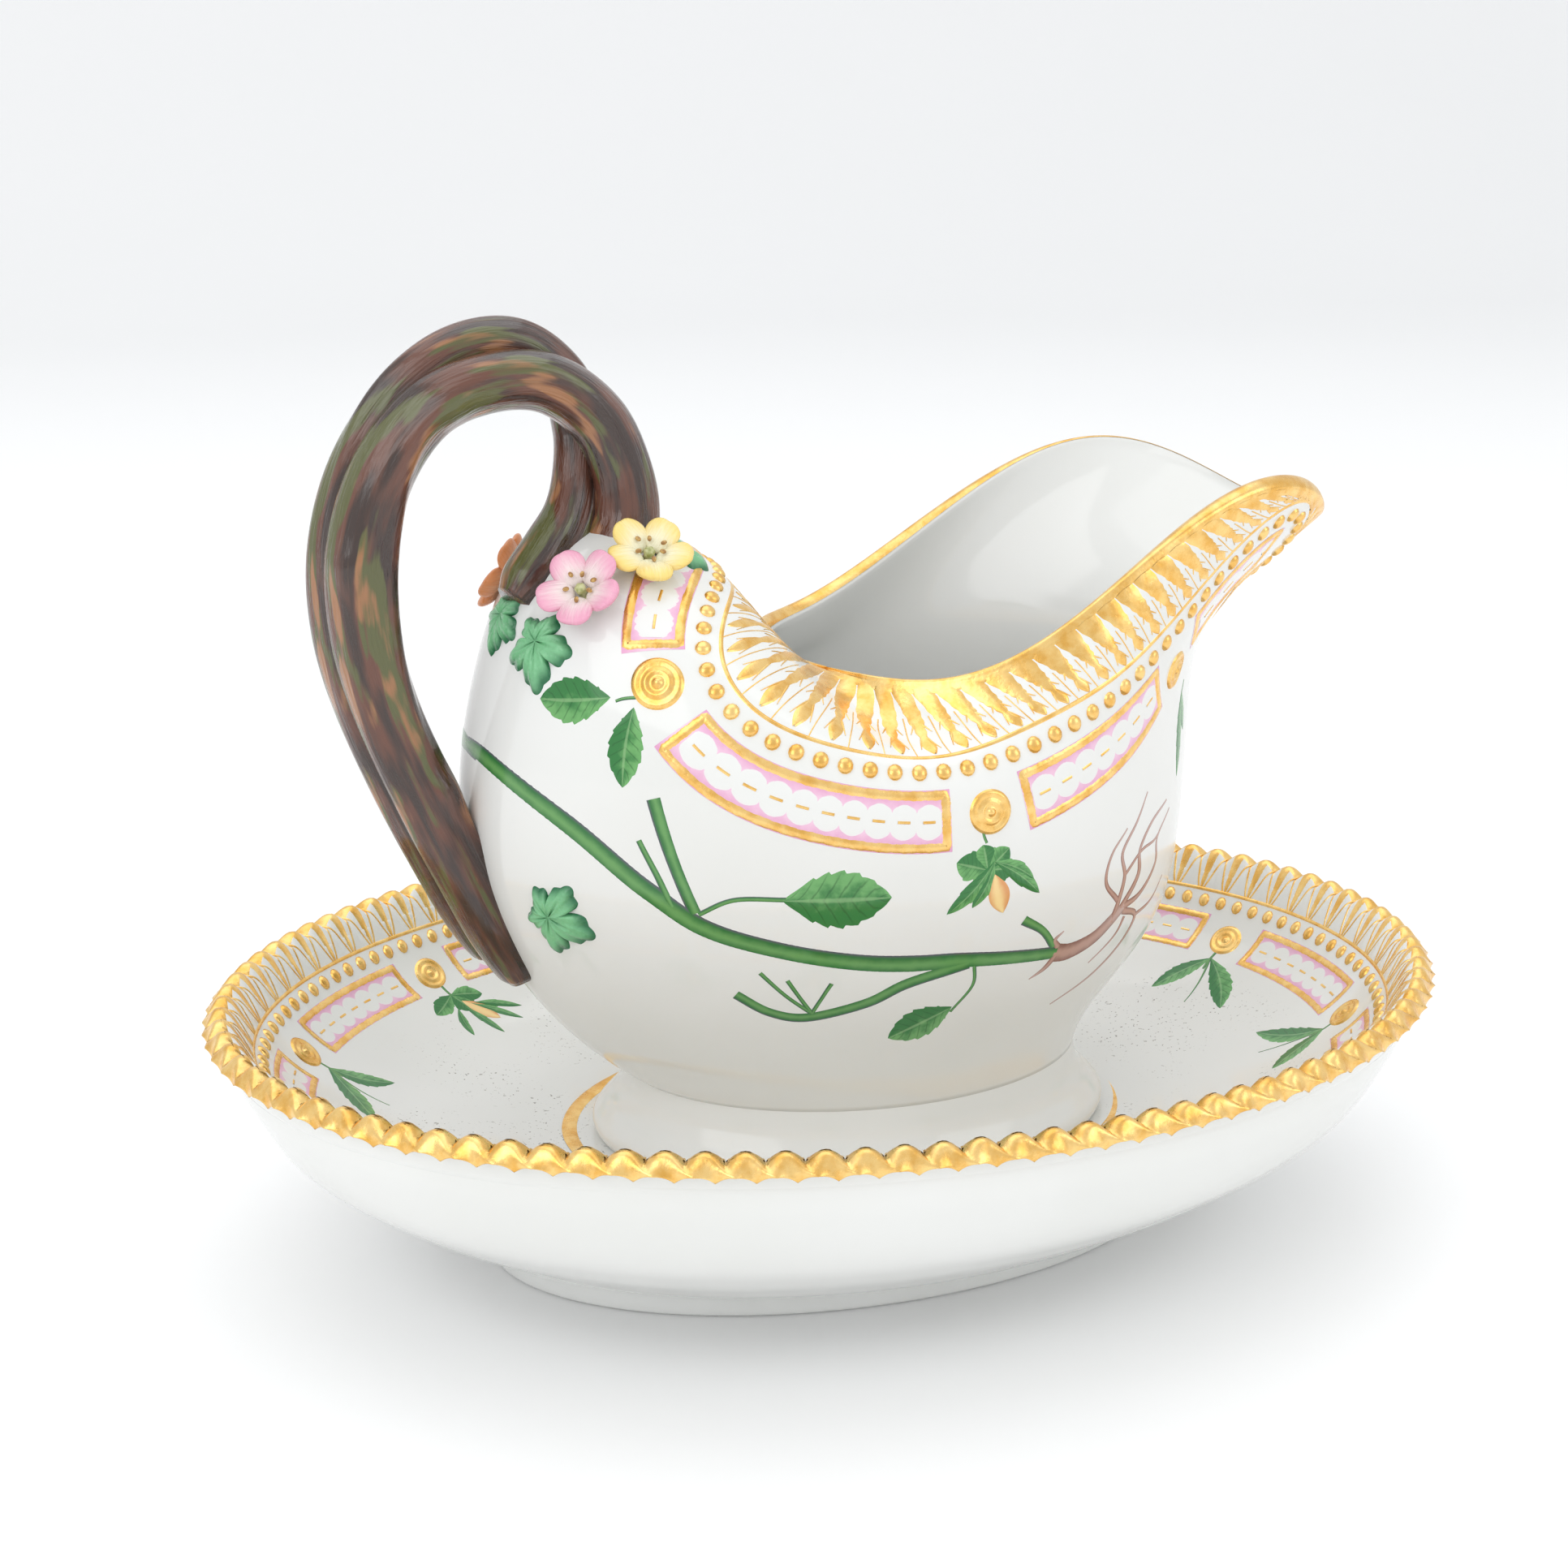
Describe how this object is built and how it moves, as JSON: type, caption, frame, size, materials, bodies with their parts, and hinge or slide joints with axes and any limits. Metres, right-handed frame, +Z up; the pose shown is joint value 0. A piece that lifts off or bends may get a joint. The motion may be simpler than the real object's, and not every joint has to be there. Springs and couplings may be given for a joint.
{
  "type": "gravy boat",
  "caption": "Footed sauce boat with a twisted branch handle and a broad pouring lip, standing in the well of its own deep oval stand.",
  "frame": {"origin": "on the table, under the middle of the oval stand", "axes": "+X along the stand's long axis towards the pouring lip, the handle at -X, +Z up"},
  "size_m": [0.245, 0.188, 0.1808],
  "materials": {
    "white_porcelain": "clear gloss glaze over white clay, with gilding and enamel painting",
    "bark_glaze": "brown, green and orange mottled gloss enamel",
    "pink_enamel": "gloss enamel",
    "yellow_enamel": "gloss enamel",
    "orange_enamel": "gloss enamel",
    "green_enamel": "gloss enamel"
  },
  "bodies": {
    "stand": {"stand_dish": "white_porcelain"},
    "boat": {"boat_bowl": "white_porcelain", "boat_foot": "white_porcelain", "handle_main_branch": "bark_glaze", "handle_second_branch": "bark_glaze", "pink_blossom_petals": "pink_enamel", "pink_blossom_heart": "yellow_enamel", "yellow_blossom_petals": "yellow_enamel", "yellow_blossom_heart": "yellow_enamel", "orange_blossom_petals": "orange_enamel", "orange_blossom_heart": "yellow_enamel", "shoulder_leaf_near": "green_enamel", "shoulder_leaf_back": "green_enamel", "shoulder_leaf_front": "green_enamel", "root_leaf_near": "green_enamel", "root_leaf_far": "green_enamel"}
  },
  "joints": [
    {"name": "boat_lift", "type": "slide", "parent": "stand", "child": "boat", "axis": [0, 0, 1], "range_m": [0, 0.08]}
  ]
}
